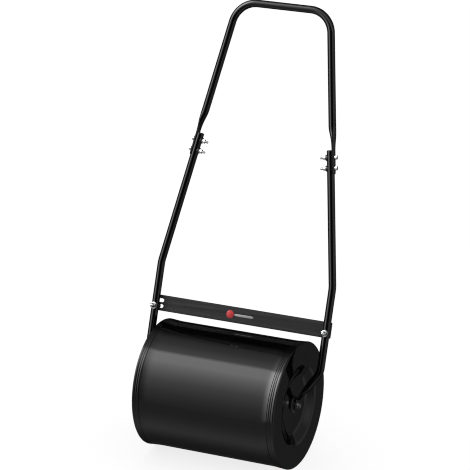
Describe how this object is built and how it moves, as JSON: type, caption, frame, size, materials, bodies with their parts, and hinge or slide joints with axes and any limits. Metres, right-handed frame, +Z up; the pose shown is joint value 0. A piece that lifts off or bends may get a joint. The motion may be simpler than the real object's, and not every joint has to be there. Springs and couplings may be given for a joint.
{
  "type": "lawn roller",
  "caption": "Push lawn roller: a hollow steel drum turning on an axle held by the feet of a bent tube handle with a flat scraper bar.",
  "frame": {"origin": "on the ground under the middle of the drum, below the axle", "axes": "+X along the axle towards the end without the filler, +Y behind the roller where the handle leans, +Z up"},
  "size_m": [0.4852, 0.4995, 1.0811],
  "materials": {
    "handle_paint": "gloss",
    "drum_paint": "satin",
    "scraper_paint": "matt",
    "zinc_plate": "satin",
    "axle_steel": "satin",
    "black_plastic": "matt",
    "bush_plastic": "satin",
    "gasket_rubber": "matt"
  },
  "bodies": {
    "handle_frame": {"upper_handle": "handle_paint", "lower_handle_left": "handle_paint", "lower_handle_right": "handle_paint", "tube_end_plug_left": "black_plastic", "tube_end_plug_right": "black_plastic", "scraper_bar": "scraper_paint", "scraper_bolts": "zinc_plate", "scraper_washers": "zinc_plate", "scraper_cap_nuts": "zinc_plate", "joint_bolts": "zinc_plate", "joint_nuts": "zinc_plate", "joint_washers": "zinc_plate", "joint_head_washers": "zinc_plate", "joint_saddle_washers": "black_plastic", "axle_rod": "axle_steel", "axle_bolts": "zinc_plate", "axle_washers": "zinc_plate", "axle_thrust_washers": "bush_plastic"},
    "drum": {"drum_shell": "drum_paint", "end_cap_left": "drum_paint", "end_cap_right": "drum_paint", "axle_sleeve": "drum_paint", "axle_bush_left": "bush_plastic", "axle_bush_right": "bush_plastic", "filler_neck": "drum_paint"},
    "filler_plug": {"filler_plug": "black_plastic", "filler_gasket": "gasket_rubber"}
  },
  "joints": [
    {"name": "drum_spin", "type": "hinge", "parent": "handle_frame", "child": "drum", "pos_m": [0, 0, 0.16], "axis": [1, 0, 0], "continuous": true},
    {"name": "plug_slide", "type": "slide", "parent": "drum", "child": "filler_plug", "axis": [-1, 0, 0], "range_m": [0, 0.014]}
  ]
}
